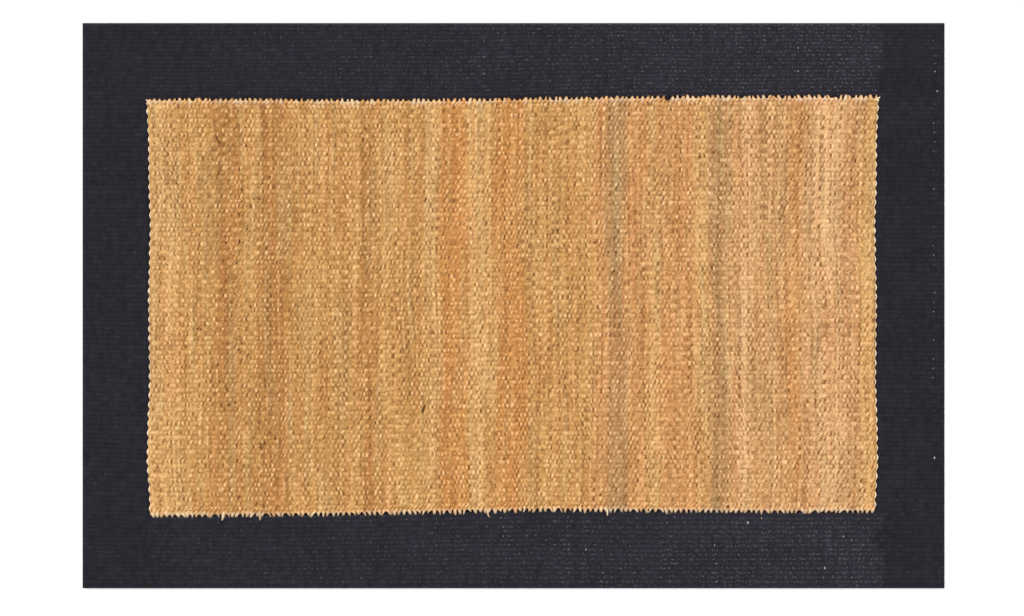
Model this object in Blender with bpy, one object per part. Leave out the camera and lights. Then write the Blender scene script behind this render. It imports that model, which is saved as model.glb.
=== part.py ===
"""Flat-woven jute rug with a dark border, as two closed solids.

The rug lies flat, as it was photographed. +X runs along its length, +Y across it
and +Z up, in metres, with the origin at the centre of the underside. The warp
threads run along X, and each shows as a rib. The jute wefts of the field turn
round the outermost warp of the field and leave a row of small rounded teeth,
which the dark weft of the border fits closely round.
"""

import math

import bmesh
import bpy
import numpy as np

MM = 0.001

# Outer size, and the ribs counted across the whole rug and across a side strip
LENGTH = 915 * MM
WIDTH = 600 * MM
RIBS = 120
STRIP_RIBS = 16

# The plain dark bands at the two ends
LEFT_BAND = 71.5 * MM
RIGHT_BAND = 73.5 * MM

# Thickness of the cloth at a rib's crest, and how far the valleys lie below it
FIELD_THICKNESS = 5.4 * MM
FIELD_RELIEF = 1.0 * MM
BORDER_THICKNESS = 4.0 * MM
BORDER_RELIEF = 0.8 * MM

# A rib's section: its two shoulders, as shares of the way between two valleys
SHOULDERS = (0.3, 0.7)

# Hand-beaten weft leaves the cloth a little thicker here and thinner there
UNEVEN = 0.18 * MM

# The outer ends are drawn down round the last picks
EDGE_DROP = 1.2 * MM
EDGE_ROUND = 3 * MM

# The jute turns along the two long sides of the field
PANELS = 4
TEETH_PER_PANEL = 36
TOOTH_TIP = 0.36
FRONT_TOOTH = 5.0 * MM
BACK_TOOTH = 4.2 * MM
TOOTH_DROP = 0.9 * MM

# Space between the jute and the dark weft round it
JOIN_GAP = 0.3 * MM

# The border's grid has its window's corners on these lines, and two columns beyond them
FRONT_CORNER = STRIP_RIBS + SHOULDERS[0]
BACK_CORNER = RIBS - STRIP_RIBS - 1 + SHOULDERS[1]
BAND_COLUMNS = 2
BORDER_COLUMNS = PANELS + 1 + 2 * BAND_COLUMNS

# How the long sides of the field wander, in millimetres from the rug's centre
LONG_SIDES = {
    "along": (-457.5, -386, -193, 0, 191, 384, 457.5),
    "front": (-220.5, -222.4, -221.1, -217.4, -218.2, -218.9, -219.5),
    "back": (220.0, 220.0, 218.7, 221.5, 223.2, 222.2, 221.0),
}

# How far the short sides of the field are drawn in, in millimetres, at places across it
SHORT_SIDES = {
    "across": (-222, -208, -166, -124, -82, 3, 46, 88, 130, 173, 206, 222),
    "drawn_in": (0.4, 0.7, -1.8, -1.0, 0.5, -0.5, 0.4, 1.3, -0.2, -0.4, -2.0, -3.2),
}
PAIR_BUMP = 0.9 * MM

JUTE = (0.46, 0.33, 0.18)
CHARCOAL = (0.024, 0.023, 0.033)


def clear_scene():
    """Remove whatever the file starts with."""
    for thing in list(bpy.data.objects):
        bpy.data.objects.remove(thing, do_unlink=True)


def new_material(name, colour, roughness):
    """A plain cloth material of one colour."""
    material = bpy.data.materials.new(name)
    material.use_nodes = True
    shader = material.node_tree.nodes["Principled BSDF"]
    shader.inputs["Base Color"].default_value = (*colour, 1)
    shader.inputs["Roughness"].default_value = roughness
    material.diffuse_color = (*colour, 1)
    return material


def rib_lines(first, last):
    """The valleys and shoulders between two places, all counted in ribs from the front."""
    counted = [rib + part for rib in range(RIBS + 1) for part in (0, *SHOULDERS)]
    slack = 0.01
    return [line for line in counted if first - slack < line < last + slack]


def is_valley(line):
    """Whether a line counted in ribs lies between two ribs."""
    return line == int(line)


def across_at(line, along):
    """Where a line counted in ribs lies across the rug, at a place along it."""
    front = np.interp(along / MM, LONG_SIDES["along"], LONG_SIDES["front"]) * MM
    back = np.interp(along / MM, LONG_SIDES["along"], LONG_SIDES["back"]) * MM
    counts = (0, STRIP_RIBS, RIBS - STRIP_RIBS, RIBS)
    return float(np.interp(line, counts, (-WIDTH / 2, front, back, WIDTH / 2)))


def field_end(line, side):
    """A point on a short side of the field, which is -1 for left and 1 for right."""
    straight = LENGTH / 2 - RIGHT_BAND if side > 0 else LENGTH / 2 - LEFT_BAND
    across = across_at(line, side * straight)
    pull = np.interp(across / MM, SHORT_SIDES["across"], SHORT_SIDES["drawn_in"]) * MM
    bump = PAIR_BUMP * math.sin(math.pi * line) / 2
    along = side * (straight - float(pull) + bump)
    return along, across_at(line, along)


def tooth_row(line, height, side):
    """Points along a long side of the field, which is -1 for front and 1 for back."""
    left = field_end(line, -1)[0]
    right = field_end(line, 1)[0]
    teeth = PANELS * TEETH_PER_PANEL
    pitch = (right - left) / teeth
    tooth_shape = ((0, -0.5), (0.5 - TOOTH_TIP / 2, 0.5), (0.5 + TOOTH_TIP / 2, 0.5))
    points = []
    for tooth in range(teeth):
        for part, reach in tooth_shape:
            along = left + (tooth + part) * pitch
            points.append((along, across_at(line, along) + side * reach * height))
    points.append((right, across_at(line, right) - side * height / 2))
    return points


def field_sides():
    """The outline of the field as its front, right, back and left sides."""
    lines = inner_lines()
    front = tooth_row(STRIP_RIBS, FRONT_TOOTH, -1)
    right = [field_end(line, 1) for line in lines]
    back = tooth_row(RIBS - STRIP_RIBS, BACK_TOOTH, 1)
    left = [field_end(line, -1) for line in lines]
    return front, right, back, left


def inner_lines():
    """The valleys and shoulders of the field between its two toothed ribs."""
    return rib_lines(STRIP_RIBS + SHOULDERS[1], RIBS - STRIP_RIBS - 1 + SHOULDERS[0])


def grown(sides, distance):
    """The same four sides, moved outwards by an even distance."""
    front, right, back, left = sides
    ring = np.array(front + right + back[::-1] + left[::-1])
    ahead = np.roll(ring, -1, axis=0) - ring
    ahead /= np.linalg.norm(ahead, axis=1)[:, None]
    outward = np.stack([ahead[:, 1], -ahead[:, 0]], axis=1)
    before = np.roll(outward, 1, axis=0)
    mitre = (outward + before) / (1 + (outward * before).sum(axis=1))[:, None]
    moved = [tuple(point) for point in ring + distance * mitre]
    ends = np.cumsum([0, len(front), len(right), len(back), len(left)])
    parts = [moved[start:stop] for start, stop in zip(ends, ends[1:])]
    return parts[0], parts[1], parts[2][::-1], parts[3][::-1]


def woven_height(thickness, relief, line, along):
    """Height of the upper face at a valley or a shoulder, a little uneven."""
    rib = int(line)
    wave = math.sin(2.3 * rib + 9 * along) + math.sin(0.37 * rib - 23 * along)
    crest = thickness + UNEVEN * wave / 2
    return crest - relief if is_valley(line) else crest


def woven_grid(columns, lines, place):
    """A grid with its points moved to place(column, line), and its rows of vertices."""
    mesh = bmesh.new()
    bmesh.ops.create_grid(
        mesh, x_segments=columns - 1, y_segments=len(lines) - 1, size=0.5
    )
    mesh.verts.ensure_lookup_table()
    rows = {}
    for index, line in enumerate(lines):
        rows[line] = mesh.verts[index * columns : (index + 1) * columns]
        for column, vertex in enumerate(rows[line]):
            vertex.co = place(column, line)
    return mesh, rows


def new_vertices(mesh, points, height):
    """A vertex for each point of an outline, all at one height."""
    return [mesh.verts.new((x, y, height)) for x, y in points]


def fill_toothed_strip(mesh, row, outline, left_link=(), right_link=()):
    """Faces from a row of the grid to the toothed outline, one for each panel."""
    step = (len(outline) - 1) // PANELS
    for panel in range(PANELS):
        teeth = outline[panel * step : (panel + 1) * step + 1]
        right = right_link if panel == PANELS - 1 else ()
        left = left_link if panel == 0 else ()
        mesh.faces.new([row[panel], row[panel + 1], *right, *reversed(teeth), *left])


def close_below(mesh):
    """Give the upper face walls, and a flat underside on the floor."""
    added = bmesh.ops.extrude_face_region(mesh, geom=mesh.faces[:])["geom"]
    for item in added:
        if isinstance(item, bmesh.types.BMVert):
            item.co.z = 0
    bmesh.ops.recalc_face_normals(mesh, faces=mesh.faces[:])


def new_object(name, mesh, material):
    """Store a finished bmesh as a named object with its ribs smooth."""
    data = bpy.data.meshes.new(name)
    mesh.to_mesh(data)
    mesh.free()
    data.materials.append(material)
    data.shade_smooth()
    data.set_sharp_from_angle(angle=math.radians(50))
    return bpy.data.objects.new(name, data)


def build_field(sides, material):
    """The jute field: its ribs, its two toothed sides and its uneven ends."""
    front, right, back, left = sides
    lines = inner_lines()
    ends = dict(zip(lines, zip(left, right)))

    def place(column, line):
        start, stop = ends[line]
        along = start[0] + (stop[0] - start[0]) * column / PANELS
        height = woven_height(FIELD_THICKNESS, FIELD_RELIEF, line, along)
        return along, across_at(line, along), height

    mesh, rows = woven_grid(PANELS + 1, lines, place)
    rim = FIELD_THICKNESS - TOOTH_DROP
    fill_toothed_strip(mesh, rows[lines[0]], new_vertices(mesh, front, rim))
    fill_toothed_strip(mesh, rows[lines[-1]], new_vertices(mesh, back, rim))
    close_below(mesh)
    return new_object("field", mesh, material)


def window_ends(window):
    """The left and right points of the window, by the line that they lie on."""
    front, right, back, left = window
    ends = dict(zip(inner_lines(), zip(left, right)))
    ends[FRONT_CORNER] = (front[0], front[-1])
    ends[BACK_CORNER] = (back[0], back[-1])
    return ends


def panel_point(ends, line, panel):
    """A point of the border's grid above, below or at the side of the window."""
    nearest = min(max(line, FRONT_CORNER), BACK_CORNER)
    start, stop = ends[nearest]
    if nearest == line and panel in (0, PANELS):
        return stop if panel else start
    along = start[0] + (stop[0] - start[0]) * panel / PANELS
    return along, across_at(line, along)


def open_window(mesh, first_row, last_row):
    """Delete the faces of the border's grid where the window is."""
    inside = []
    for face in mesh.faces:
        corner = min(vertex.index for vertex in face.verts)
        row, column = divmod(corner, BORDER_COLUMNS)
        if 0 <= column - BAND_COLUMNS < PANELS and first_row <= row < last_row:
            inside.append(face)
    bmesh.ops.delete(mesh, geom=inside, context="FACES")


def line_window_side(mesh, rows, opened, points):
    """Join the strip beside the window to its toothed side, given the opened lines."""
    left = BAND_COLUMNS
    right = BAND_COLUMNS + PANELS
    shoulder, *between, corner = opened
    teeth = new_vertices(mesh, points[1:-1], BORDER_THICKNESS - TOOTH_DROP)
    outline = [rows[corner][left], *teeth, rows[corner][right]]
    right_link = [rows[line][right] for line in between]
    left_link = [rows[line][left] for line in reversed(between)]
    strip = rows[shoulder][left : right + 1]
    fill_toothed_strip(mesh, strip, outline, left_link, right_link)


def build_border(window, material):
    """The dark border: a ribbed sheet with a window that the field fits into."""
    front, _, back, _ = window
    ends = window_ends(window)
    lines = rib_lines(0, RIBS)
    front_lines = rib_lines(STRIP_RIBS - 1 + SHOULDERS[0], FRONT_CORNER)
    back_lines = rib_lines(BACK_CORNER, RIBS - STRIP_RIBS + SHOULDERS[1])

    def place(column, line):
        from_end = min(column, BORDER_COLUMNS - 1 - column)
        if from_end < BAND_COLUMNS:
            side = -1 if column < BAND_COLUMNS else 1
            along = side * (LENGTH / 2 - from_end * EDGE_ROUND)
            across = across_at(line, along)
        else:
            along, across = panel_point(ends, line, column - BAND_COLUMNS)
        height = woven_height(BORDER_THICKNESS, BORDER_RELIEF, line, along)
        return along, across, height if from_end else height - EDGE_DROP

    mesh, rows = woven_grid(BORDER_COLUMNS, lines, place)
    open_window(mesh, lines.index(front_lines[0]), lines.index(back_lines[-1]))
    line_window_side(mesh, rows, front_lines, front)
    line_window_side(mesh, rows, back_lines[::-1], back)
    close_below(mesh)
    return new_object("border", mesh, material)


def main():
    clear_scene()
    collection = bpy.data.collections.new("jute_rug")
    bpy.context.scene.collection.children.link(collection)
    sides = field_sides()
    jute = new_material("natural_jute_weft", JUTE, 0.9)
    charcoal = new_material("charcoal_weft", CHARCOAL, 0.95)
    collection.objects.link(build_field(sides, jute))
    collection.objects.link(build_border(grown(sides, JOIN_GAP), charcoal))


main()
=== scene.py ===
"""Flat-woven jute rug with a dark border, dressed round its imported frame.

The file is laid out as a Blender add-on. Each operator makes one part of the rug
from the sizes and colours in the scene's property groups. The rug is woven in
weft-faced tapestry weave: straight warps along +X show only as ribs, and each
weft shows as a row of beads, over one warp and under the next.
"""

import math
from collections import namedtuple

import bmesh
import bpy
import numpy as np
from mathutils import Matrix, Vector


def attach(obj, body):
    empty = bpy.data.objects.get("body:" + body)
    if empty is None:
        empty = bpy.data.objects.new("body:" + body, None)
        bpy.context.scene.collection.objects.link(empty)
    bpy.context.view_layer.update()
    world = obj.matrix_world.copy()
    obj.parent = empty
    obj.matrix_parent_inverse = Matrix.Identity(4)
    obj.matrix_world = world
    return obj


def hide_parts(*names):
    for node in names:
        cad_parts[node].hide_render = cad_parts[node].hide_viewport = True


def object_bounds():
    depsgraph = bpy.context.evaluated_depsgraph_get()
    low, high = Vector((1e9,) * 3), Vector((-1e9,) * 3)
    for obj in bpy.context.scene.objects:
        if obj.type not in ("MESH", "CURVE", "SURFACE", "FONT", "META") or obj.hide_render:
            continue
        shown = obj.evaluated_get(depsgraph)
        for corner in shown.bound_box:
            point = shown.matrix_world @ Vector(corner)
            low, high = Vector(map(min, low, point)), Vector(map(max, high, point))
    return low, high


bl_info = {
    "name": "Bordered jute rug",
    "version": (1, 0, 0),
    "blender": (4, 5, 0),
    "location": "View3D > Sidebar > Jute rug",
    "description": "Weaves a jute rug with a dark border and sets it in a plain studio",
    "category": "Add Mesh",
}

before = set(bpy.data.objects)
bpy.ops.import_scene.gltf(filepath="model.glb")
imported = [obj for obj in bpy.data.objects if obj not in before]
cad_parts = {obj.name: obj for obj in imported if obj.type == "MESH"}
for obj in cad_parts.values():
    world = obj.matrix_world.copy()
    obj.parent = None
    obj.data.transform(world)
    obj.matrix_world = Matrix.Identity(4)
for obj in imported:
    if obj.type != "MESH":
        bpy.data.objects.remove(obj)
CAD_BOX = [list(corner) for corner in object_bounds()]
ROOT = "root"

MM = 0.001
LENGTH = CAD_BOX[1][0] - CAD_BOX[0][0]
WIDTH = CAD_BOX[1][1] - CAD_BOX[0][1]

# The woven count: ribs in the front strip, in the field and in the back strip, jute picks
# along the field, turns on each of its long sides and dark picks along the border
FRONT_RIBS = 17
FIELD_RIBS = 88
BACK_RIBS = 19
RIBS = FRONT_RIBS + FIELD_RIBS + BACK_RIBS
LAST_LINE = FRONT_RIBS + FIELD_RIBS
PICKS = 340
TURNS = 144
DARK_PICKS = 704

# How far apart the field's ribs are
RIB_PITCH = 5.0 * MM

# Rows of points over a jute rib and over a dark one, and columns of points over a turn
ROWS_PER_RIB = 3
ROWS_PER_DARK_RIB = 2
COLUMNS_PER_TURN = 8

# The plain dark bands at the two ends
LEFT_BAND = 71.5 * MM
RIGHT_BAND = 73.5 * MM
FIELD_LENGTH = LENGTH - LEFT_BAND - RIGHT_BAND

# How far apart the jute picks and the dark picks are
PICK_PITCH = FIELD_LENGTH / PICKS
DARK_PICK_PITCH = 1.3 * MM

# How the long sides of the field wander, in millimetres from the rug's centre
LONG_SIDES = {
    "along": (-457.5, -386, -290, -163, -36, 28, 155, 283, 384, 457.5),
    "front": (-220.8, -222.9, -222.6, -221.1, -218.5, -217.2, -217.9, -218.6, -218.4, -219.3),
    "back": (218.5, 218.3, 218.6, 217.7, 218.3, 219.8, 221.2, 221.5, 221.8, 221.0),
}

# How deep the gaps between the turns are at places along the field, as shares of the depth
# in the sizes
TURN_GAPS = {
    "along": (-386, -320, -290, -36, 92, 200, 386),
    "front": (0.05, 0.25, 0.5, 0.9, 0.85, 0.5, 0.4),
    "back": (0.5, 0.65, 0.7, 0.95, 0.85, 0.8, 1.2),
}

# How far the short sides of the field are drawn in, in millimetres, at places across it
SHORT_SIDES = {
    "across": (-222, -208, -166, -124, -82, 3, 46, 88, 130, 173, 206, 222),
    "drawn_in": (0.4, 0.7, -1.8, -1.0, 0.5, -0.5, 0.4, 1.3, -0.2, -0.4, -2.0, -3.2),
}

# How far the short sides swing out and in from rib to rib
END_SWING = 0.45 * MM

# Over how many picks two bands of jute blend, each way from where they meet
BAND_BLEND = 1.5

# The unevenness of the jute: how far each kind goes, in millimetres or as a share of the
# relief, and the picks and the ribs over which it changes
STRAYS = ((0.9, 1.8, 12), (0.55, 2.2, 3.0))
SWELLS = ((0.10, 1.5, 9), (0.10, 2.7, 3.1))

# The jute's shades, judged from left to right: first pick of each band and its shade
SHADES = {
    "straw": "#dbaa69",
    "gold": "#cf9c59",
    "tan": "#c99653",
    "brown": "#bb8545",
    "rust": "#cf904b",
    "amber": "#d2985c",
    "olive": "#b88d5b",
    "pale": "#e3b17b",
    "pink": "#d3a169",
    "rosy": "#cf9c68",
}
BANDS = (
    (0, "straw"), (14, "gold"), (24, "tan"), (31, "brown"), (41, "tan"), (50, "brown"),
    (65, "tan"), (78, "gold"), (83, "tan"), (90, "gold"), (99, "brown"), (107, "gold"),
    (118, "tan"), (126, "gold"), (130, "straw"), (136, "rust"), (148, "straw"), (158, "gold"),
    (163, "rust"), (176, "gold"), (208, "amber"), (215, "olive"), (223, "amber"),
    (233, "straw"), (238, "amber"), (256, "straw"), (262, "olive"), (270, "pink"),
    (276, "pale"), (282, "pink"), (298, "amber"), (305, "rosy"), (311, "pale"), (325, "rosy"),
    (332, "straw"),
)

# Undyed threads in the dark border: place along the rug in millimetres, the ribs between
# which each runs, the share of its dots that shows, and the dots' size
PALE_THREADS = (
    (446, 41, 122, 0.6, 0.55),
    (214.5, 1, 10, 1.0, 0.75),
    (164, 2, 17, 0.7, 0.55),
    (167, 1, 16, 0.5, 0.5),
    (-11, 11, 16, 1.0, 0.6),
    (-3.5, 9, 15, 1.0, 0.6),
    (57, 13, 17, 1.0, 0.6),
    (94, 1, 4, 1.0, 0.7),
)

# Single pale spots: place along the rug in millimetres, rib and size
PALE_SPOTS = (
    (248.5, 14, 1.6), (330, 4, 1.3), (350, 11, 0.9), (302, 111, 0.8), (302, 117, 0.9),
    (77, 8, 0.9), (263, 16, 0.9), (263, 15, 0.8), (446.5, 28, 1.2), (449.5, 106, 1.0),
    (447, 111, 0.8),
)

# Where bits of bark lie in the jute: picks and ribs from and to, and how many
SLUBS = (
    (34, 44, 23, 81, 26),
    (51, 56, 19, 46, 16),
    (28, 59, 19, 103, 24),
    (101, 109, 19, 103, 10),
    (214, 222, 19, 103, 14),
    (261, 272, 19, 103, 18),
    (5, 335, 19, 103, 44),
)

# Larger bits of bark: pick, rib, length in ribs, half width in millimetres and slant in picks
BARK_BITS = (
    (128.3, 39.3, 1.5, 0.95, 1.6),
    (270.9, 18.1, 0.5, 1.4, 0.3),
)

# The rows of a turn, out from under the cloth, over the last rib and down round the turn:
# where each starts in ribs, how far it goes from there to the turn's outline, its share of
# the height and how deep it lies in shade
TURN_ROWS = (
    (-1.75, 0, 0, 0),
    (-1.7, 0, 0.45, 0),
    (-1.42, 0, 0.9, 0),
    (-1.0, 0, 1, 0),
    (-0.75, 0, 1, 0),
    (-0.75, 0.35, 1, 0.1),
    (-0.75, 0.68, 1, 0.6),
    (-0.75, 0.9, 0.9, 1),
    (-0.75, 1.0, 0.6, 1),
    (-0.75, 1.0, 0, 1),
)

# The turns on a long side: the slimmest and the widest, how much they slant, the least and
# the most bleached, how many ribs before the edge the bleach starts, how high they stand
# for the yarn's tone, which paints a highlight on them, and how much lighter their dye is
# made towards the edge
TurnLook = namedtuple("TurnLook", "slimmest widest slant least most before full sunned")
FRONT_TURNS = TurnLook(0.42, 0.8, 0.5, 0.4, 1.25, 0.8, 0.5, 0)
BACK_TURNS = TurnLook(0.4, 0.8, 0.35, 0.0, 0.65, 1.4, 0.7, 0.12)

# Turns that are missing: the side of the field, -1 for the front, and the place along it
# in millimetres
MISSING_TURNS = ((1, 162.8),)

# Loose ends of jute: place in millimetres from the rug's centre, the path over the cloth as
# steps along and across from there and heights, half the thickness and how pale each is
LOOSE_ENDS = (
    (-308, -221, ((0.6, 2.5, 3.4), (0.4, -0.5, 3.9), (0, -3.5, 3.6), (-0.9, -6.8, 3.9)), 1.7, 0.6),
    (-269, -221, ((-0.3, 3, 4.3), (0, -0.5, 4.1), (0.2, -3.5, 3.6), (0.4, -6.8, 3.9)), 1.4, 0.35),
    (99.5, -217, ((0, 2.5, 3.4), (0.2, 0, 3.9), (0.2, -3.5, 3.6), (0.2, -5.8, 3.9)), 1.0, 0.8),
    (-27, -219, ((-1, 3, 4.4), (-0.6, 0, 4.2), (0.2, -3, 3.6), (1.5, -5.5, 3.9)), 0.9, 0.5),
    (-386, 217, ((1.8, -6, 4.4), (0.4, -3, 4.4), (-1.6, -0.6, 3.8), (-3.8, 1.4, 3.9)), 1.0, 0.8),
    (386.5, 220, ((-2, -3.5, 4.4), (-0.6, -1, 4.4), (1.0, 0.3, 3.8), (2.4, 1.2, 3.9)), 1.0, 0.8),
)

# How thick a loose end is along its path, as shares of its full thickness
LOOSE_END_SWELLS = (0.8, 1.0, 0.9, 0.5)


def linear(hex_colour):
    """An sRGB hex colour as three linear numbers."""
    values = []
    for first in (1, 3, 5):
        share = int(hex_colour[first : first + 2], 16) / 255
        values.append(share / 12.92 if share <= 0.04045 else ((share + 0.055) / 1.055) ** 2.4)
    return values


def length_property(name, description, default):
    """A length that a user can change, in metres."""
    return bpy.props.FloatProperty(
        name=name, description=description, default=default, unit="LENGTH"
    )


def colour_property(name, description, hex_colour):
    """A yarn's colour that a user can change."""
    return bpy.props.FloatVectorProperty(
        name=name, description=description, subtype="COLOR", default=linear(hex_colour)
    )


class RugSizes(bpy.types.PropertyGroup):
    """Heights of the cloth and how unevenly it is woven."""

    field_crest: length_property(
        "Field thickness", "Height of the jute cloth at the crest of a bead", 5.5 * MM
    )
    field_relief: length_property(
        "Field relief",
        "How far the hollows between the jute beads lie below their crests",
        2.3 * MM,
    )
    border_crest: length_property(
        "Border thickness", "Height of the dark cloth at the crest of a rib", 4.0 * MM
    )
    border_relief: length_property(
        "Border relief",
        "How far the valleys between the dark ribs lie below their crests",
        1.2 * MM,
    )
    wander: length_property("Wander", "How far a pick strays from a straight line", 1.7 * MM)
    turn_depth_front: length_property(
        "Front turns",
        "How far the gaps between the turns reach in on the front long side",
        2.9 * MM,
    )
    turn_depth_back: length_property(
        "Back turns", "How far the gaps between the turns reach in on the back long side", 2.1 * MM
    )


class RugColours(bpy.types.PropertyGroup):
    """Colours of the yarns."""

    # Pale fibres on the bead crests, and the painted highlight there
    pale_fibre_and_highlight: colour_property(
        "Bead highlight", "Bleached fibres on the crests of the jute beads", "#ffd398"
    )
    redder: colour_property("Redder strand", "Jute strands from riper stems", "#c47d46")
    greyer: colour_property("Greyer strand", "Jute strands from long soaked stems", "#b39a6c")
    # Dark fibres, and the painted shade in the hollows between the beads
    dark_fibre_and_hollow_shade: colour_property("Hollow", "Jute deep between the beads", "#865525")
    turn: colour_property("Turn", "Jute where it turns round the last warp", "#f3e4c8")
    slub: colour_property("Slub", "Bits of bark in the jute", "#5a3519")
    charcoal: colour_property("Charcoal", "Dyed weft of the border", "#24232a")
    fleck: colour_property("Fleck", "Undyed fibres in the border", "#a9a0a3")
    undyed: colour_property("Undyed thread", "Undyed cotton threads in the border", "#a89c95")


# Names of the kinds of node that are used most
MATH = "ShaderNodeMath"
VECTOR_MATH = "ShaderNodeVectorMath"
RANGE = "ShaderNodeMapRange"
NOISE = "ShaderNodeTexNoise"
DICE = "ShaderNodeTexWhiteNoise"
PLACE = "ShaderNodeCombineXYZ"
ATTRIBUTE = "ShaderNodeAttribute"
MIX = "ShaderNodeMix"
PRINCIPLED = "ShaderNodeBsdfPrincipled"
OUTPUT = "ShaderNodeOutputMaterial"

# The sockets of a Mix node that mixes colours: its share, its two colours and its result
SHARE = 0
FIRST = 6
SECOND = 7
MIXED = 2


def node(tree, kind, inputs=(), output=0, **settings):
    """Add a node with its settings, links and values, and return one of its outputs if it has any.

    The inputs come as a row, in the order of the node's sockets, or as a dictionary.
    """
    made = tree.nodes.new(kind)
    for name, value in settings.items():
        setattr(made, name, value)
    for socket, value in inputs.items() if isinstance(inputs, dict) else enumerate(inputs):
        if isinstance(value, bpy.types.NodeSocket):
            tree.links.new(value, made.inputs[socket])
        else:
            made.inputs[socket].default_value = value
    return made.outputs[output] if made.outputs else None


def new_material(name):
    """An empty material with its node tree and its output."""
    material = bpy.data.materials.new(name)
    material.use_nodes = True
    material.node_tree.nodes.clear()
    return material, material.node_tree


def plain_material(name, colour, roughness, specular):
    """A material of one colour all over."""
    material, tree = new_material(name)
    looks = {"Base Color": (*colour, 1), "Roughness": roughness, "Specular IOR Level": specular}
    node(tree, OUTPUT, {"Surface": node(tree, PRINCIPLED, looks)})
    return material


def soft_noise(random, pick, line, picks, lines):
    """Smooth random numbers from -1 to 1 that change over so many picks and lines."""
    pick = (pick - pick.min()) / picks
    line = (line - line.min()) / lines
    lattice = random.uniform(-1, 1, (int(pick.max()) + 2, int(line.max()) + 2))
    column = pick.astype(int)
    row = line.astype(int)
    across = pick - column
    up = line - row
    across = across * across * (3 - 2 * across)
    up = up * up * (3 - 2 * up)
    low = lattice[column, row] * (1 - across) + lattice[column + 1, row] * across
    high = lattice[column, row + 1] * (1 - across) + lattice[column + 1, row + 1] * across
    return low * (1 - up) + high * up


def across_at(line, along):
    """Where a line counted in ribs from the front lies across the rug."""
    front = np.interp(along / MM, LONG_SIDES["along"], LONG_SIDES["front"]) * MM
    back = np.interp(along / MM, LONG_SIDES["along"], LONG_SIDES["back"]) * MM
    in_front = -WIDTH / 2 + (front + WIDTH / 2) * line / FRONT_RIBS
    inside = front + (back - front) * (line - FRONT_RIBS) / FIELD_RIBS
    behind = back + (WIDTH / 2 - back) * (line - LAST_LINE) / BACK_RIBS
    return np.where(line < FRONT_RIBS, in_front, np.where(line > LAST_LINE, behind, inside))


def field_end(line, side):
    """Where a short side of the field lies along the rug; -1 is left and 1 is right."""
    straight = LENGTH / 2 - (RIGHT_BAND if side > 0 else LEFT_BAND)
    across = across_at(line, np.full_like(line, side * straight))
    pull = np.interp(across / MM, SHORT_SIDES["across"], SHORT_SIDES["drawn_in"]) * MM
    return side * (straight - pull + END_SWING * np.sin(np.pi * line))


def field_along(pick, line):
    """Where a place counted in picks lies along the rug, on an evenly woven field."""
    left = field_end(line, -1)
    return left + (field_end(line, 1) - left) * pick / PICKS


def band_colours(pick):
    """The jute's linear colour at places counted in picks, soft where two bands meet."""
    starts = [start for start, _ in BANDS]
    shades = [linear(SHADES[shade]) for _, shade in BANDS]
    ends = [*starts[1:], PICKS]
    places = []
    values = []
    for start, end, shade in zip(starts, ends, shades):
        blend = min(BAND_BLEND, (end - start) / 3)
        places += [start + blend, end - blend]
        values += [shade, shade]
    channels = np.array(values).T
    return np.stack([np.interp(pick, places, channel) for channel in channels], 1)


def deselect():
    """Leave nothing selected, so that an operator acts on its own piece alone."""
    bpy.ops.object.select_all(action="DESELECT")


def put_values(mesh, name, kind, values):
    """Store a value for each point of a mesh as an attribute."""
    field = "color" if kind == "FLOAT_COLOR" else "value"
    mesh.attributes.new(name, kind, "POINT").data.foreach_set(field, values.ravel())


def put_weave_map(mesh, pick, line):
    """Store each point's place in the weave, in picks and ribs, as a UV map."""
    corners = np.empty(len(mesh.loops), np.int32)
    mesh.loops.foreach_get("vertex_index", corners)
    layer = mesh.uv_layers.new(name="weave")
    layer.data.foreach_set("uv", np.stack([pick[corners], line[corners]], 1).ravel())


def finish_piece(piece, material):
    """Shade a finished piece smooth, and give it its material, slot and the rug's one body."""
    piece.data.shade_smooth()
    piece.data.materials.clear()
    piece.data.materials.append(material)
    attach(piece, ROOT)


def weave_grid(name, columns, rows):
    """A grid primitive with the column and row of each of its points."""
    deselect()
    bpy.ops.mesh.primitive_grid_add(x_subdivisions=columns, y_subdivisions=rows, size=2)
    piece = bpy.context.object
    piece.name = name
    piece.data.name = name
    points = np.empty(len(piece.data.vertices) * 3)
    piece.data.vertices.foreach_get("co", points)
    points = points.reshape(-1, 3)
    column = np.rint((points[:, 0] + 1) / 2 * columns).astype(int)
    row = np.rint((points[:, 1] + 1) / 2 * rows).astype(int)
    return piece, column, row


def set_points(mesh, x, y, z):
    """Move all points of a mesh."""
    mesh.vertices.foreach_set("co", np.stack([x, y, z], 1).ravel())
    mesh.update()


def close_flat_under(mesh, rim):
    """Close a sheet with one flat face on the floor, between its rim's points in order."""
    work = bmesh.new()
    work.from_mesh(mesh)
    work.verts.ensure_lookup_table()
    add_floor_face(work, [work.verts[index] for index in rim])
    work.to_mesh(mesh)
    work.free()


def add_floor_face(work, points):
    """Add a flat face between points on the floor, turned down to it."""
    face = work.faces.new(points)
    face.normal_update()
    if face.normal.z > 0:
        face.normal_flip()


def bead_height(pick, line, ribbed, beaded, lean):
    """Height of the weave from 0 to about 1: ribs, beads and the beads' lean."""
    rib = np.abs(np.sin(np.pi * line))
    bead = np.sin(np.pi * pick) * np.sin(np.pi * line)
    slant = np.cos(np.pi * pick) * np.cos(np.pi * line)
    return ribbed * rib + beaded * bead + lean * slant


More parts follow.
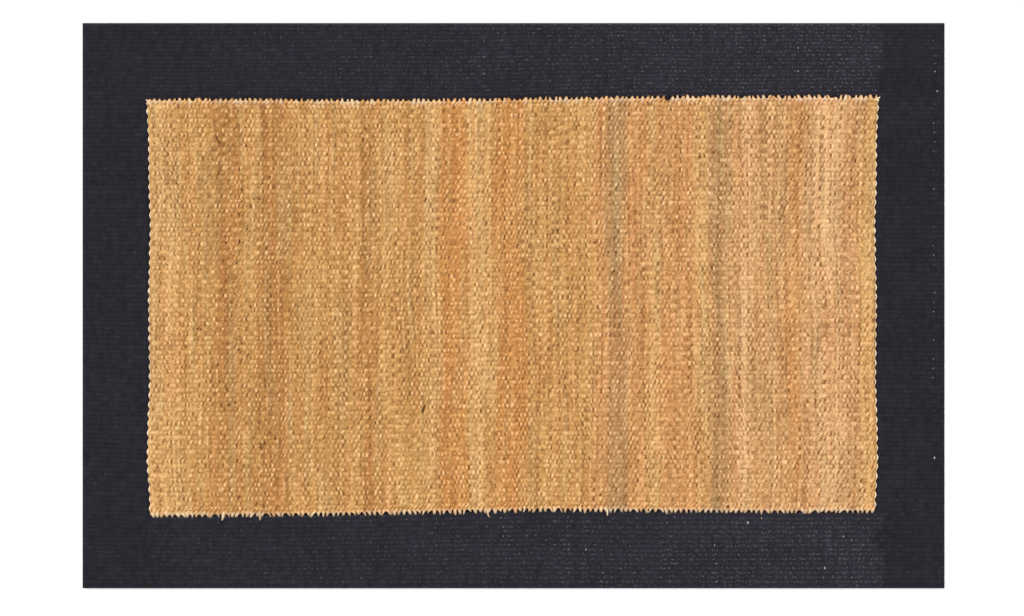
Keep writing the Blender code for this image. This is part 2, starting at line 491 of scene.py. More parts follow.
class RUG_OT_field_cloth(bpy.types.Operator):
    """Weave the jute field as one sheet of beads"""

    bl_idname = "rug.field_cloth"
    bl_label = "Jute field"

    def execute(self, context):
        sizes = context.scene.rug_sizes
        random = np.random.default_rng(11)
        ribs = FIELD_RIBS - 2
        rows = ROWS_PER_RIB * ribs
        columns = PICKS + 1
        piece, column, row = weave_grid("jute_field", columns, rows)
        pick = np.clip(column - 0.5, 0, PICKS)
        line = FRONT_RIBS + 1 + row / ROWS_PER_RIB
        bead = (column, np.minimum(row // ROWS_PER_RIB, ribs - 1))
        beads = (columns + 1, ribs)
        over = np.sin(np.pi * line)
        lean = field_lean(random, pick, line)

        # Each bead stands up more or less than the next, and each point of it a little
        height = cloth_height(random, pick, line, lean)
        height += 0.15 * random.normal(0, 1, beads)[bead] * np.abs(over)
        height += 0.05 * random.normal(0, 1, len(pick))
        z = cloth_top(sizes, height)

        # The picks wander, and each bead strays a little from its pick and leans over its rib
        stray = sizes.wander * soft_noise(random, pick, line, 20, 16)
        for reach, picks, lines in STRAYS:
            stray += reach * MM * soft_noise(random, pick, line, picks, lines)
        stray += 0.3 * MM * np.clip(random.normal(0, 1, beads), -1.3, 1.3)[bead]
        stray -= 0.25 * PICK_PITCH * lean * np.sin(2 * np.pi * line)
        x = field_along(pick, line) + away_from_ends(pick) * stray
        y = across_at(line, x) + 0.2 * MM * np.clip(random.normal(0, 1, len(z)), -2, 2)

        # The outermost rows reach half a rib on under the turns, and the rim lies on the floor
        y = np.where(row == 0, across_at(line - 0.5, x), y)
        y = np.where(row == rows, across_at(line + 0.5, x), y)
        edge = (column == 0) | (column == columns) | (row == 0) | (row == rows)
        z[edge] = 0
        set_points(piece.data, x, y, z)

        # A band of one shade wanders too, by up to two picks
        drift = 1.9 * soft_noise(random, pick, line, 7, 22)
        colours = band_colours(np.clip(pick + drift, 0, PICKS))
        put_yarn(piece.data, colours, lean, height, 0)
        close_flat_under(piece.data, grid_rim(column, row, columns, rows))
        put_weave_map(piece.data, pick, line)
        finish_piece(piece, jute_material(context.scene.rug_colours))
        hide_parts("field")
        return {"FINISHED"}


def away_from_ends(pick):
    """A share from 0 at the field's two ends to 1 from the third pick on."""
    return np.minimum(np.minimum(pick, PICKS - pick) / 3, 1)


def put_yarn(mesh, colours, lean, raised, turn):
    """Store what the jute's material reads at each point of a mesh."""
    opaque = np.column_stack([colours, np.ones(len(colours))])
    put_values(mesh, "dye", "FLOAT_COLOR", opaque)
    for name, value in (("lean", lean), ("raised", raised), ("turn", turn)):
        put_values(mesh, name, "FLOAT", np.full(len(colours), value, float))


def cloth_height(random, pick, line, lean):
    """Height of the jute cloth from 0 to 1, with thick and thin picks and uneven beads."""
    uneven = 1 + 0.75 * soft_noise(random, pick, line, 1.1, 14)
    uneven += 0.35 * soft_noise(random, pick, line, 1.6, 2.2)
    height = bead_height(pick, line, 0.26, 0.29 * uneven, 0.3 * lean)

    # Where a pick is beaten in badly, it stands over the ribs that its neighbour should cover
    height += 0.16 * soft_noise(random, pick, line, 1.0, 12) * np.sin(np.pi * line)
    for reach, picks, lines in SWELLS:
        height += reach * soft_noise(random, pick, line, picks, lines)
    return height + 0.12


def cloth_top(sizes, height):
    """Height above the floor for heights of the jute cloth, of which 0.85 is a usual crest."""
    return sizes.field_crest - sizes.field_relief * (0.85 - np.clip(height, -0.3, 1.0))


def field_lean(random, pick, line):
    """Which way the beads lean: 1 joins them up to the right, and -1 up to the left."""
    groups = soft_noise(random, pick, line, 7, 60)
    local = soft_noise(random, pick, line, 5, 8)
    usual = 0.35
    return np.clip(groups + 1.1 * local + usual, -1, 1)


class RUG_OT_turns(bpy.types.Operator):
    """Turn the jute picks in pairs round the last warp on both long sides"""

    bl_idname = "rug.turns"
    bl_label = "Jute turns"

    def execute(self, context):
        sizes = context.scene.rug_sizes
        material = bpy.data.materials["jute_flat_spun"]
        for name, side, seed in (("jute_turns_front", -1, 23), ("jute_turns_back", 1, 24)):
            piece = turn_strip(name, side, np.random.default_rng(seed), sizes)
            finish_piece(piece, material)
            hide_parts("field")
        return {"FINISHED"}


def turn_strip(name, side, random, sizes):
    """The last beads of the cloth on one long side, and the rounded turns beyond them."""
    in_front = side < 0
    looks = FRONT_TURNS if in_front else BACK_TURNS
    last_line = FRONT_RIBS if in_front else LAST_LINE
    notch = -sizes.turn_depth_front if in_front else -sizes.turn_depth_back
    tip = 0.8 * abs(notch)
    rows = len(TURN_ROWS) - 1
    columns = COLUMNS_PER_TURN * TURNS
    piece, column, row = weave_grid(name, columns, rows)
    row = rows - row if in_front else row
    pick = column / columns * PICKS
    turn = np.minimum(column // COLUMNS_PER_TURN, TURNS - 1)
    lateral = 2 * (column / COLUMNS_PER_TURN - turn) - 1

    # Each turn has its own length, width and slant, and every second one stands out more
    order = np.arange(TURNS)
    place = ((order + 0.5) / TURNS - 0.5) * FIELD_LENGTH / MM
    gap = np.interp(place, TURN_GAPS["along"], TURN_GAPS["front" if in_front else "back"])
    depth = notch * gap * random.uniform(0.5, 1.1, TURNS)
    uneven = random.uniform(-0.6, 0.5, TURNS)
    uneven += 0.22 * np.cos(np.pi * order) * random.uniform(0, 2, TURNS)
    length = tip * (1 + gap * uneven)
    length += 0.7 * MM * soft_noise(random, order, order * 0, 3, 1)
    slim = random.uniform(looks.slimmest, looks.widest, TURNS)
    slant = random.normal(0, looks.slant, TURNS)

    # Where a turn is missing, a wide notch reaches in past the gaps beside it
    for missing_side, missing_place in MISSING_TURNS:
        if missing_side == side:
            missing = int((missing_place * MM / FIELD_LENGTH + 0.5) * TURNS)
            length[missing] = 2.3 * notch
            depth[missing] = 0.3 * notch
            slim[missing] = 0.95

    # The outline of a turn: blunt at its tip and steep beside the gaps
    share = np.clip(1 - (np.abs(lateral) / slim[turn]) ** 4, 0, 1) ** 0.6
    outline = (depth[turn] + (length[turn] - depth[turn]) * share) / RIB_PITCH

    # The cloth goes on as far as the edge's start, and from there each turn is rounded off
    start, towards, drop, shaded = np.array(TURN_ROWS)[row].T
    start = np.minimum(start, outline)
    outward = start + (outline - start) * towards
    line = last_line + side * outward
    inner = cloth_height(random, pick, line, 1.0)
    past_crest = np.clip((outward + 0.5) / 0.9, 0, 1)
    rounded = 1 - 0.28 * np.clip((outward + 0.8) / 0.5, 0, 1) * lateral**2
    crest = sizes.field_crest - 0.5 * MM - 1.5 * MM * past_crest**1.5
    at_edge = outward > -0.6
    z = np.where(at_edge, crest * rounded, cloth_top(sizes, inner))
    z *= drop
    z[(column == 0) | (column == columns)] = 0
    edge_line = np.full_like(line, float(last_line))
    x = field_along(pick, edge_line)
    x += away_from_ends(pick) * slant[turn] * np.clip(outward + 0.6, 0, 1) * 3 * MM
    y = across_at(edge_line, x) + side * outward * RIB_PITCH
    set_points(piece.data, x, y, z)

    # Each turn is bleached by its own amount. Its paleness is greatest along its middle, a painted
    # highlight on its round, and falls where it lies in shade underneath, a painted shade
    paleness = random.uniform(looks.least, looks.most, TURNS)[turn]
    pale = np.clip((outward + looks.before) / 0.8, 0, 1) * paleness
    pale *= (1 - 0.5 * np.abs(lateral)) * (1 - 0.6 * shaded)
    # Towards the edge the dye is made lighter
    sunned = 1 + looks.sunned * np.clip((outward + 1.4) / 0.6, 0, 1)
    colours = band_colours(pick) * sunned[:, None]
    # The turns' height for the tone paints a highlight on them, less where they lie in shade
    raised = np.where(at_edge, looks.full - (looks.full + 0.1) * shaded, inner)
    put_yarn(piece.data, colours, 0.3, raised, np.clip(pale, 0, 1))
    close_flat_under(piece.data, grid_rim(column, row, columns, rows))
    put_weave_map(piece.data, pick, line)
    return piece


def grid_rim(column, row, columns, rows):
    """The outer points of a grid, in order round it."""
    places = {place: index for index, place in enumerate(zip(column, row))}
    sides = rim_points(places, (0, columns, 0, rows))
    return [point for side in sides for point in side[:-1]]


# A ring of a tube: its centre, its size, its place in the weave and how pale it is
Ring = namedtuple("Ring", "centre half_width half_height pick line pale")


class RUG_OT_end_picks(bpy.types.Operator):
    """Lay the first and the last jute pick, which bulge out over every second warp"""

    bl_idname = "rug.end_picks"
    bl_label = "Jute end picks"

    def execute(self, context):
        random = np.random.default_rng(29)
        material = bpy.data.materials["jute_flat_spun"]
        steps_per_rib = 5
        half_width = 0.75 * MM
        half_height = 0.7 * MM
        steps = np.arange((FIELD_RIBS - 1) * steps_per_rib)
        lines = FRONT_RIBS + 0.55 + steps / steps_per_rib
        bulge = np.sin(np.pi * lines)
        height = (3.6 + 0.8 * bulge) * MM

        # The pick stands out and up over every second warp, and dives in under the next
        for name, side in (("jute_end_pick_left", -1), ("jute_end_pick_right", 1)):
            size = 1 + 0.3 * soft_noise(random, lines, lines * 0, 1.7, 1)
            along = field_end(lines, side) + side * (0.22 * bulge * size - 0.3) * MM
            across = across_at(lines, along)
            # The pick is paler where it bulges out over a warp and darker where it dives in
            paleness = np.clip(0.4 + 0.5 * bulge * size, 0, 1)
            pick = 0.5 if side < 0 else PICKS - 0.5
            rings = [
                Ring(Vector((x, y, z)), half_width * wide, half_height, pick, line, pale)
                for x, y, z, wide, line, pale in zip(along, across, height, size, lines, paleness)
            ]
            piece = tubes(name, [rings])
            finish_piece(piece, material)
            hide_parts("field")
        return {"FINISHED"}


def tubes(name, strands, sides=8):
    """One mesh of tubes, from the rings of each strand."""
    points = []
    faces = []
    places = []
    paleness = []
    for rings in strands:
        base = len(points)
        for index, ring in enumerate(rings):
            before = rings[max(index - 1, 0)].centre
            ahead = (rings[min(index + 1, len(rings) - 1)].centre - before).normalized()
            sideways = ahead.cross(Vector((0, 0, 1))).normalized()
            up = sideways.cross(ahead)
            for corner in range(sides):
                angle = 2 * math.pi * corner / sides
                wide = ring.half_width * math.cos(angle)
                high = ring.half_height * math.sin(angle)
                points.append(ring.centre + sideways * wide + up * high)
                places.append((ring.pick + wide / PICK_PITCH, ring.line))
                paleness.append(ring.pale)
        for index in range(len(rings) - 1):
            low = base + index * sides
            for corner in range(sides):
                after = (corner + 1) % sides
                faces.append((low + corner, low + after, low + sides + after, low + sides + corner))
        faces.append([base + corner for corner in reversed(range(sides))])
        faces.append([base + (len(rings) - 1) * sides + corner for corner in range(sides)])
    data = bpy.data.meshes.new(name)
    data.from_pydata([tuple(point) for point in points], [], faces)
    work = bmesh.new()
    work.from_mesh(data)
    bmesh.ops.recalc_face_normals(work, faces=work.faces[:])
    work.to_mesh(data)
    work.free()
    piece = bpy.data.objects.new(name, data)
    bpy.context.scene.collection.objects.link(piece)
    places = np.array(places)
    put_weave_map(data, places[:, 0], places[:, 1])
    colours = band_colours(np.clip(places[:, 0], 0, PICKS))
    put_yarn(data, colours, 0.3, 0.55, paleness)
    return piece


def read_weave(tree):
    """What both yarns read of the weave: the map and, from it, a bead's place and own tone."""
    weave = node(tree, "ShaderNodeUVMap", uv_map="weave")
    pick = node(tree, "ShaderNodeSeparateXYZ", (weave,))
    line = pick.node.outputs[1]
    strand = node(tree, MATH, (pick,), operation="FLOOR")
    rib = node(tree, MATH, (line,), operation="FLOOR")
    cell = node(tree, PLACE, (strand, rib))
    bead_tone = node(tree, DICE, {"Vector": cell}, noise_dimensions="2D")
    return weave, pick, line, strand, rib, bead_tone


def jute_material(colours):
    """Jute, hand spun and flat woven: dry and matt, straw to rust, with pale flecks, painted
    highlights on the bead crests and painted shade between the beads.
    """
    material, tree = new_material("jute_flat_spun")
    weave, pick, line, strand, _, bead_tone = read_weave(tree)
    dye = node(tree, ATTRIBUTE, output="Color", attribute_name="dye")
    raised, lean, turn = [
        node(tree, ATTRIBUTE, output="Fac", attribute_name=name)
        for name in ("raised", "lean", "turn")
    ]

    # Fine fibres lie along the strand, twisted to the side that the bead leans to. There are
    # six to a pick, because the real ones are too fine to show
    twist = node(tree, MATH, (lean, line), operation="MULTIPLY")
    beside = node(tree, MATH, (pick, twist), operation="SUBTRACT")
    beside = node(tree, MATH, (beside, 6.0), operation="MULTIPLY")
    patterns = [(node(tree, PLACE, (beside, line)), 1.3, 3.0)]

    # Beads are plump in patches of a few picks, and flecks are smaller than a bead
    for shrink in ((0.6, 0.9, 0), (0.8, 1.6, 0)):
        place = node(tree, VECTOR_MATH, (weave, shrink), operation="MULTIPLY")
        patterns.append((place, 1.0, 1.0))

    # Each strand has its own tone, shed and hue, which change over a hand's width of its
    # length: how far apart strands are in the noise, how slowly it runs along the ribs and
    # its detail
    for apart, along, detail in ((7.31, 0.028, 2.0), (27.05, 0.1, 2.0), (0.25, 0.03, 1.0)):
        own_line = node(tree, MATH, (strand, apart), operation="MULTIPLY")
        slow_line = node(tree, MATH, (line, along), operation="MULTIPLY")
        patterns.append((node(tree, PLACE, (own_line, slow_line)), 1.0, detail))
    fibres, plump, flecks, strand_tone, shed, strand_hue = [
        node(
            tree, NOISE, {"Vector": place, "Scale": scale, "Detail": detail}, noise_dimensions="2D"
        )
        for place, scale, detail in patterns
    ]
    redder = node(tree, RANGE, (strand_hue, 0.5, 0.7, 0, 0.32))
    greyer = node(tree, RANGE, (strand_hue, 0.5, 0.3, 0, 0.28))

    # A strand shows as a bead over one rib and dives under the next; its crest gets a painted
    # highlight and its dive painted shade
    waves = []
    for way in (pick, line):
        angle = node(tree, MATH, (way, math.pi), operation="MULTIPLY")
        waves.append(node(tree, MATH, (angle,), operation="SINE"))
    crest = node(tree, MATH, (waves[1], waves[1]), operation="MULTIPLY")
    plump = node(tree, RANGE, (plump, 0.35, 0.7, -0.05, 0.6))
    bead = node(tree, MATH, waves, operation="MULTIPLY")
    for part in (crest, plump):
        bead = node(tree, MATH, (bead, part), operation="MULTIPLY")

    # The tone of a bead: its strand's, its own, its flecks', its fibres' and its height's,
    # each with the values between which it runs and how far it reaches each way. The height's
    # share is painted highlight on the crests and painted shade in the hollows
    tone = node(tree, MATH, (bead, -0.07), operation="ADD")
    for value, low, high, reach in (
        (strand_tone, 0.3, 0.7, 0.24),
        (bead_tone, 0.0, 1.0, 0.25),
        (flecks, 0.25, 0.75, 0.27),
        (fibres, 0.3, 0.7, 0.09),
        (raised, 0.0, 0.9, 0.3),
    ):
        share = node(tree, RANGE, (value, low, high, -reach, reach))
        tone = node(tree, MATH, (tone, share), operation="ADD")

    # Some picks lie in the same shed as their neighbours, so that the beads don't alternate, and
    # their painted highlight and shade follow the ribs alike
    shed = node(tree, RANGE, (shed, 0.3, 0.7, -0.3, 0.3))
    shed = node(tree, MATH, (shed, waves[1]), operation="MULTIPLY")
    tone = node(tree, MATH, (tone, shed), operation="ADD")
    # Above nought the tone mixes in pale fibre and painted highlight, below it dark fibre and
    # painted shade, and then the turns' cream by their paleness
    lighter = node(tree, RANGE, (tone, 0, 1, 0, 1))
    darker = node(tree, RANGE, (tone, 0, -1, 0, 1))
    turned = node(tree, MATH, (turn, 0.9), operation="MULTIPLY")
    colour = dye
    for share, shade in (
        (redder, colours.redder),
        (greyer, colours.greyer),
        (lighter, colours.pale_fibre_and_highlight),
        (darker, colours.dark_fibre_and_hollow_shade),
        (turned, colours.turn),
    ):
        inputs = {SHARE: share, FIRST: colour, SECOND: (*shade, 1)}
        colour = node(tree, MIX, inputs, output=MIXED, data_type="RGBA")

    # Single fibres stand up a little on the strands
    finish_yarn(tree, colour, fibres, 0.45, 0.35 * MM, 0.78, 0.35)
    return material


def finish_yarn(tree, colour, fuzz, strength, height, roughness, specular):
    """End a yarn's material with its fuzz, as low relief, and its gloss."""
    relief = {"Height": fuzz, "Strength": strength, "Distance": height}
    looks = {
        "Base Color": colour,
        "Roughness": roughness,
        "Specular IOR Level": specular,
        "Normal": node(tree, "ShaderNodeBump", relief),
    }
    node(tree, OUTPUT, {"Surface": node(tree, PRINCIPLED, looks)})


class RUG_OT_bark_slubs(bpy.types.Operator):
    """Spin dark bits of bark into some of the jute picks"""

    bl_idname = "rug.bark_slubs"
    bl_label = "Bark slubs"

    def execute(self, context):
        random = np.random.default_rng(53)
        centre_height = context.scene.rug_sizes.field_crest - 0.5 * MM
        half_height = 0.6 * MM
        bits = list(BARK_BITS)
        for first_pick, last_pick, first_line, last_line, count in SLUBS:
            for _ in range(count):
                pick = random.uniform(first_pick, last_pick)
                line = random.uniform(first_line, last_line)
                length = random.uniform(0.3, 0.85)
                slant = random.normal(0, 0.5)
                bits.append((pick, line, length, random.uniform(0.35, 0.75), slant))
        strands = []
        for pick, line, length, wide, slant in bits:
            rings = []
            for step, swell in ((-0.5, 0.4), (0, 1.0), (0.5, 0.4)):
                place = np.array([pick + slant * step])
                height = np.array([line + length * step])
                along = field_along(place, height)
                across = across_at(height, along)
                centre = Vector((along[0], across[0], centre_height))
                rings.append(Ring(centre, wide * swell * MM, half_height * swell, pick, line, 0))
            strands.append(rings)

        # Bark of the jute's stem, left in by hand spinning: dark brown and matt
        material = plain_material("jute_bark", context.scene.rug_colours.slub, 0.8, 0.3)
        piece = tubes("bark_slubs", strands, sides=6)
        finish_piece(piece, material)
        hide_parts("field")
        return {"FINISHED"}


class RUG_OT_loose_ends(bpy.types.Operator):
    """Let a few ends of jute stick out over the border"""

    bl_idname = "rug.loose_ends"
    bl_label = "Loose ends"

    def execute(self, context):
        material = bpy.data.materials["jute_flat_spun"]
        strands = []
        for along, across, path, wide, pale in LOOSE_ENDS:
            pick = (along * MM / FIELD_LENGTH + 0.5) * PICKS
            rings = []
            for step, (right, up, height) in enumerate(path):
                centre = Vector((along + right, across + up, height)) * MM
                half_width = wide * LOOSE_END_SWELLS[step] * MM
                rings.append(Ring(centre, half_width, 0.8 * half_width, pick, step * 0.3, pale))
            strands.append(rings)
        piece = tubes("loose_ends", strands, sides=6)
        finish_piece(piece, material)
        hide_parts("field")
        return {"FINISHED"}


class RUG_OT_border_cloth(bpy.types.Operator):
    """Weave the dark border as one sheet of fine ribs round the field"""

    bl_idname = "rug.border_cloth"
    bl_label = "Dark border"

    def execute(self, context):
        sizes = context.scene.rug_sizes
        random = np.random.default_rng(37)
        rows = ROWS_PER_DARK_RIB * RIBS
        piece, column, row = weave_grid("dark_border", DARK_PICKS, rows)
        line = row / ROWS_PER_DARK_RIB
        pick = column + 0.5
        on_crest = row % ROWS_PER_DARK_RIB == 1
        height = bead_height(pick, line, 0.72, 0.16, 0)
        height += np.where(on_crest, 0.06 * random.normal(0, 1, len(pick)), 0)
        height += 0.08 * soft_noise(random, pick, line, 40, 3)
        z = sizes.border_crest - sizes.border_relief * (0.86 - np.clip(height, -0.2, 1.0))

        # Picks and ribs waver, but not on the outer edges
        x = (column / DARK_PICKS - 0.5) * LENGTH
        stray = 0.5 * MM * soft_noise(random, pick, line, 30, 12)
        x += stray * np.minimum(np.minimum(column, DARK_PICKS - column) / 8, 1)
        waver = 1.1 * MM * soft_noise(random, pick, line, 75, 9)
        y = across_at(line, x) + waver * np.minimum(np.minimum(line, RIBS - line) / 4, 1)

        # The dark cloth is drawn down where it meets the jute, and at its own outer edge
        slope_under = 5 * MM
        slope = 9 * MM
        edge_round = 3 * MM
        least = 0.25
        edge_share = 0.62
        left = field_end(line, -1)
        right = field_end(line, 1)
        past_end = np.maximum(left - x, x - right)
        past_side = np.maximum(FRONT_RIBS - line, line - LAST_LINE) * RIB_PITCH
        away = np.maximum(past_end, past_side)
        z *= np.clip((away + slope_under) / slope, least, 1)
        out = np.minimum(LENGTH / 2 - np.abs(x), WIDTH / 2 - np.abs(y))
        z *= edge_share + (1 - edge_share) * np.sqrt(np.clip(out / edge_round, 0, 1))

        bounds = window_bounds()
        low, high, first, last = bounds
        rim = (column == 0) | (column == DARK_PICKS) | (row == 0) | (row == rows)
        in_window = (column >= low) & (column <= high) & (row >= first) & (row <= last)
        z[rim | in_window] = 0
        set_points(piece.data, x, y, z)
        put_values(piece.data, "raised", "FLOAT", height)
        cut_window(piece.data, column, row, bounds, pick, line)
        finish_piece(piece, charcoal_material(context.scene.rug_colours))
        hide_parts("border")
        return {"FINISHED"}


def window_bounds():
    """The first and last columns and rows of the window in the border's grid."""
    under = 4 * MM
    left = LEFT_BAND + under
    right = LENGTH - RIGHT_BAND - under
    columns = (round(left / LENGTH * DARK_PICKS), round(right / LENGTH * DARK_PICKS))
    rows = (ROWS_PER_DARK_RIB * (FRONT_RIBS + 1), ROWS_PER_DARK_RIB * (LAST_LINE - 1))
    return *columns, *rows


def cut_window(mesh, column, row, bounds, pick, line):
    """Open the window, lay flat faces under the frame that is left, and map the weave."""
    work = bmesh.new()
    work.from_mesh(mesh)
    spots = dict(zip(work.verts, zip(pick, line)))
    places = dict(zip(zip(column, row), work.verts))
    outer = rim_points(places, (0, DARK_PICKS, 0, ROWS_PER_DARK_RIB * RIBS))
    inner = rim_points(places, bounds)
    low, high, first, last = bounds
    inside = []
    for face in work.faces:
        corner = min(vertex.index for vertex in face.verts)
        if low <= column[corner] < high and first <= row[corner] < last:
            inside.append(face)
    bmesh.ops.delete(work, geom=inside, context="FACES")
    for out_side, in_side in zip(outer, inner):
        add_floor_face(work, [*out_side, *reversed(in_side)])
    layer = work.loops.layers.uv.new("weave")
    for face in work.faces:
        for loop in face.loops:
            loop[layer].uv = spots[loop.vert]
    work.to_mesh(mesh)
    work.free()


def rim_points(places, bounds):
    """The points of a rectangle of the grid, as its four sides in order."""
    low, high, first, last = bounds
    front = [places[column, first] for column in range(low, high + 1)]
    right = [places[high, row] for row in range(first, last + 1)]
    back = [places[column, last] for column in range(high, low - 1, -1)]
    left = [places[low, row] for row in range(last, first - 1, -1)]
    return front, right, back, left


def charcoal_material(colours):
    """Cotton weft, dyed near black: dull, with undyed lint caught on the crests of its ribs and
    painted shade in the valleys between them.
    """
    material, tree = new_material("charcoal_dyed_weft")
    weave, pick, _, strand, rib, bead_tone = read_weave(tree)
    raised = node(tree, ATTRIBUTE, output="Fac", attribute_name="raised")
    where = node(tree, "ShaderNodeTexCoord", output="Object")
    along = node(tree, "ShaderNodeSeparateXYZ", (where,))
    across = node(tree, MATH, (along.node.outputs[1],), operation="ABSOLUTE")

    # The noises: the ragged ends of the lint, which wander over some 17 mm, clouds of 60 mm
    # in the dye, tufts of lint 2.5 mm wide, dashes of wear about six picks long, and fuzz
    dash_line = node(tree, MATH, (rib, 3.7), operation="MULTIPLY")
    dash_place = node(tree, PLACE, (pick, dash_line))
    ragged, clouds, lint, dashes, fuzz = [
        node(
            tree, NOISE, {"Vector": place, "Scale": scale, "Detail": detail}, noise_dimensions="2D"
        )
        for place, scale, detail in (
            (where, 60.0, 2.0),
            (where, 16.0, 2.0),
            (where, 400.0, 1.0),
            (dash_place, 0.16, 4.0),
            (weave, 2.2, 3.0),
        )
    ]

    # The lint lies on the side strips, up to ragged lines near their ends. Over the first 7 mm next
    # to the jute the strips are kept dark, a painted shadow of the thicker field
    worn_part_out_of_shadow = node(tree, RANGE, (across, 219 * MM, 226 * MM, 0, 1))
    ragged = node(tree, RANGE, (ragged, 0.3, 0.7, -6 * MM, 6 * MM))
    ragged = node(tree, MATH, (along, ragged), operation="ADD")
    for outside, inside in ((-394 * MM, -380 * MM), (391 * MM, 383 * MM)):
        part = node(tree, RANGE, (ragged, outside, inside, 0, 1))
        worn_part_out_of_shadow = node(tree, MATH, (worn_part_out_of_shadow, part), operation="MULTIPLY")

    # Each rib is worn lighter in dashes along its crest, more so towards the right, and its valleys
    # are darkened with painted shade against its crests
    left = -390 * MM
    right = 390 * MM
    gain = node(tree, RANGE, (along, left, right, 0.05, 0.28))
    gain = node(tree, MATH, (gain, worn_part_out_of_shadow, 1.0), operation="MULTIPLY_ADD")
    for value, low, high, least, most in (
        (clouds, 0.3, 0.7, 0.92, 1.08),
        (bead_tone, 0.0, 1.0, 0.89, 1.11),
        (dashes, 0.3, 0.7, 0.8, 1.2),
        (raised, 0.1, 0.8, 0.86, 1.1),
    ):
        share = node(tree, RANGE, (value, low, high, least, most))
        gain = node(tree, MATH, (gain, share), operation="MULTIPLY")
    dyed = {0: list(colours.charcoal), "Scale": gain}
    base = node(tree, VECTOR_MATH, dyed, operation="SCALE")

    # More of the lint shows towards the right, in clumps of a few picks, and on the crests
    share = node(tree, RANGE, (along, left, right, 0.17, 0.7))
    own = node(tree, MATH, (strand, 0.13), operation="MULTIPLY")
    clump = node(tree, NOISE, {"W": own, "Scale": 1.0, "Detail": 3.0}, noise_dimensions="1D")
    clump = node(tree, RANGE, (clump, 0.3, 0.7, 0.7, 1.3))
    for part in (worn_part_out_of_shadow, clump):
        share = node(tree, MATH, (share, part), operation="MULTIPLY")
    share = node(tree, MATH, (share, 0.1), operation="ADD")
    threshold = node(tree, RANGE, (share, 0, 0.9, 0.66, 0.42))
    on_crest = node(tree, RANGE, (raised, 0.1, 0.7, 0.1, 1), interpolation_type="SMOOTHSTEP")
    strength = node(tree, RANGE, (share, 0.1, 0.7, 0.1, 0.36))
    lint = node(tree, RANGE, (lint, threshold, 0.85, 0, 1))
    lint = node(tree, MATH, (lint, 1.8), operation="POWER")
    for part in (on_crest, strength):
        lint = node(tree, MATH, (lint, part), operation="MULTIPLY")
    inputs = {SHARE: lint, FIRST: base, SECOND: (*colours.fleck, 1)}
    colour = node(tree, MIX, inputs, output=MIXED, data_type="RGBA")
    finish_yarn(tree, colour, fuzz, 0.5, 0.3 * MM, 0.85, 0.12)
    return material


class RUG_OT_pale_picks(bpy.types.Operator):
    """Weave a few undyed threads into the dark border, seen over every second warp"""

    bl_idname = "rug.pale_picks"
    bl_label = "Undyed threads"

    def execute(self, context):
        random = np.random.default_rng(41)
        centre_height = context.scene.rug_sizes.border_crest - 0.55 * MM
        half_height = 0.75 * MM
        dots = []
        for along, first, last, showing, size in PALE_THREADS:
            for rib in range(first, last, 2):
                if random.random() < showing:
                    own_size = size * random.uniform(0.6, 1.3)
                    dots.append((along * MM + 0.9 * MM * random.normal(), rib, own_size))
        dots += [(along * MM, rib, size) for along, rib, size in PALE_SPOTS]
        strands = []
        for along, rib, size in dots:
            wide = 0.75 * MM * size * random.uniform(0.75, 1.2)
            slant = random.normal(0, 0.25) * MM
            pick = along / DARK_PICK_PITCH
            rings = []
            for step, swell in ((-0.24, 0.35), (-0.1, 0.9), (0.1, 1.0), (0.24, 0.4)):
                line = rib + 0.5 + step * min(size, 1.2)
                across = float(across_at(np.array(line), np.array(along)))
                centre = Vector((along + slant * step * 4, across, centre_height))
                rings.append(Ring(centre, wide * swell, half_height * swell, pick, line, 0))
            strands.append(rings)

        # Undyed cotton thread: dull greyish cream, so that it shows as small pale dots
        undyed = context.scene.rug_colours.undyed
        material = plain_material("undyed_cotton_thread", undyed, 0.85, 0.3)
        piece = tubes("undyed_threads", strands, sides=6)
        finish_piece(piece, material)
        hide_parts("border")
        return {"FINISHED"}


class RUG_OT_studio(bpy.types.Operator):
    """Set the rug on a white floor under soft light, seen from straight above"""

    bl_idname = "rug.studio"
    bl_label = "Studio"

    def execute(self, context):
        scene = context.scene
        deselect()
        bpy.ops.mesh.primitive_plane_add(size=16, location=(0, 0, -0.05 * MM))
        floor = context.object
        floor.name = "studio_floor"

        # White paper, unglazed: even and matt
        white = (0.95, 0.95, 0.95)
        floor.data.materials.append(plain_material("white_paper_ground", white, 0.9, 0.1))

        world = bpy.data.worlds.new("studio_white")
        world.use_nodes = True
        background = world.node_tree.nodes["Background"]
        background.inputs["Color"].default_value = (1, 1, 1, 1)
        background.inputs["Strength"].default_value = 0.62
        scene.world = world
        scene.view_settings.view_transform = "Standard"

        key = bpy.data.objects.new("key_light", bpy.data.lights.new("key_light", "SUN"))
        key.data.energy = 2.6
        key.data.angle = math.radians(20)
        key.rotation_euler = (math.radians(-38), math.radians(-28), 0)
        scene.collection.objects.link(key)
        place_camera(scene)
        return {"FINISHED"}


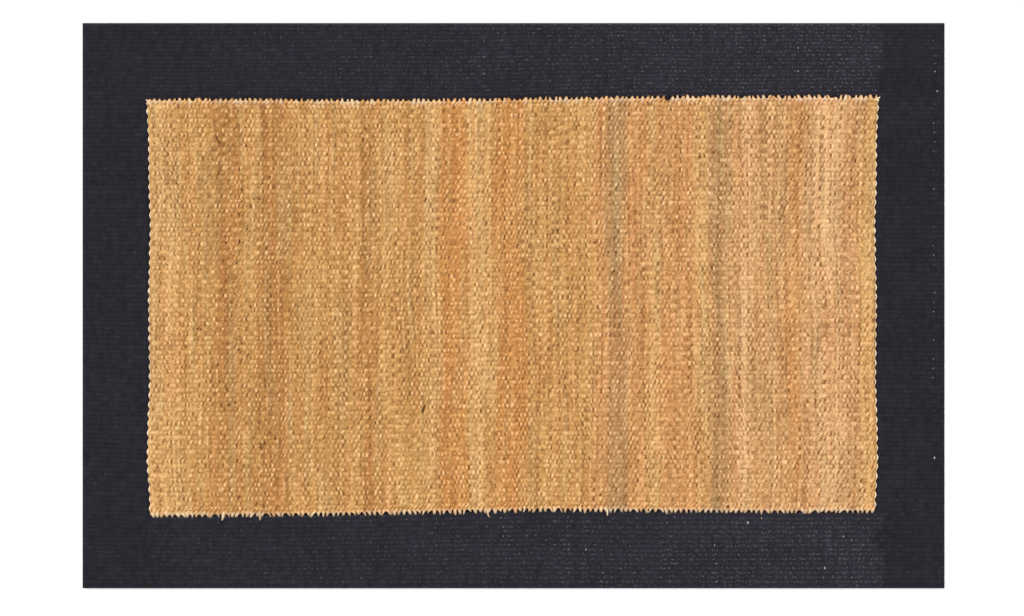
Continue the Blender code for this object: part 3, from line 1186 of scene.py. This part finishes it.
def place_camera(scene):
    """A long lens straight above, so that the rug fills the frame as in the photo."""
    frame_width = 1024
    frame_height = 616
    rug_pixels = 863
    rug_centre = (513.5, 305.6)
    rug_top = 4 * MM
    metres_per_pixel = LENGTH / rug_pixels
    camera = bpy.data.objects.new("camera", bpy.data.cameras.new("camera"))
    camera.data.lens = 100
    view_width = frame_width * metres_per_pixel
    distance = view_width * camera.data.lens / camera.data.sensor_width
    camera.location = (
        (frame_width / 2 - rug_centre[0]) * metres_per_pixel,
        (rug_centre[1] - frame_height / 2) * metres_per_pixel,
        distance + rug_top,
    )
    camera.data.clip_end = 50
    scene.collection.objects.link(camera)
    scene.camera = camera


class RUG_PT_panel(bpy.types.Panel):
    """The rug's parts, in the order in which they are made"""

    bl_idname = "RUG_PT_panel"
    bl_label = "Jute rug"
    bl_space_type = "VIEW_3D"
    bl_region_type = "UI"
    bl_category = "Jute rug"

    def draw(self, context):
        for group in (context.scene.rug_sizes, context.scene.rug_colours):
            for name in group.bl_rna.properties.keys():
                if name not in ("rna_type", "name"):
                    self.layout.prop(group, name)
        for step in STEPS:
            self.layout.operator(step.bl_idname)


STEPS = (
    RUG_OT_studio,
    RUG_OT_field_cloth,
    RUG_OT_turns,
    RUG_OT_end_picks,
    RUG_OT_bark_slubs,
    RUG_OT_loose_ends,
    RUG_OT_border_cloth,
    RUG_OT_pale_picks,
)
GROUPS = (RugSizes, RugColours)


def register():
    """Make the rug's sizes, colours and operators known to Blender."""
    for item in (*GROUPS, *STEPS, RUG_PT_panel):
        bpy.utils.register_class(item)
    bpy.types.Scene.rug_sizes = bpy.props.PointerProperty(type=RugSizes)
    bpy.types.Scene.rug_colours = bpy.props.PointerProperty(type=RugColours)


def unregister():
    """Take them out again."""
    del bpy.types.Scene.rug_colours
    del bpy.types.Scene.rug_sizes
    for item in reversed((*GROUPS, *STEPS, RUG_PT_panel)):
        bpy.utils.unregister_class(item)


def main():
    """Make the rug and its studio."""
    register()
    bpy.ops.rug.studio()
    bpy.ops.rug.field_cloth()
    bpy.ops.rug.turns()
    bpy.ops.rug.end_picks()
    bpy.ops.rug.bark_slubs()
    bpy.ops.rug.loose_ends()
    bpy.ops.rug.border_cloth()
    bpy.ops.rug.pale_picks()


if __name__ == "__main__":
    main()
